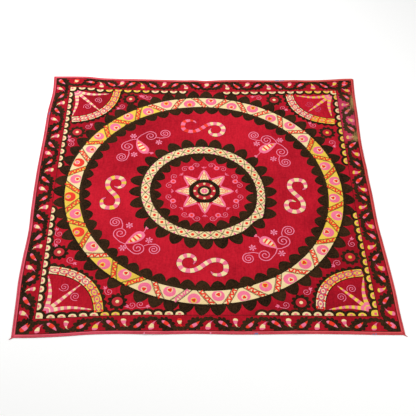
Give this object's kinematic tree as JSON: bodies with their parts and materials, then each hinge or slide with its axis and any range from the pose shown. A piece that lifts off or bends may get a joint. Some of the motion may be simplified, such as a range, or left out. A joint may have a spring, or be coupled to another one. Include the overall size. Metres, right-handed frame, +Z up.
{
  "type": "suzani embroidered textile",
  "caption": "Square embroidered cotton wall or bed cloth, laid flat, with a folded tape binding along all its edges.",
  "frame": {"origin": "middle of the bound cloth's bounding box, on the surface it lies on", "axes": "+Z up out of the face; +Y towards the edge that lies farthest in the picture; +X to the right"},
  "size_m": [2.1269, 2.1197, 0.0079],
  "materials": {
    "crimson_cotton": "matte plain weave, covered with silk embroidery",
    "rose_tape": "matte folded tape with a soft crease along its middle"
  },
  "bodies": {
    "root": {"cloth": "crimson_cotton", "binding_left": "rose_tape", "binding_right": "rose_tape", "binding_near": "rose_tape", "binding_far": "rose_tape"}
  },
  "joints": []
}
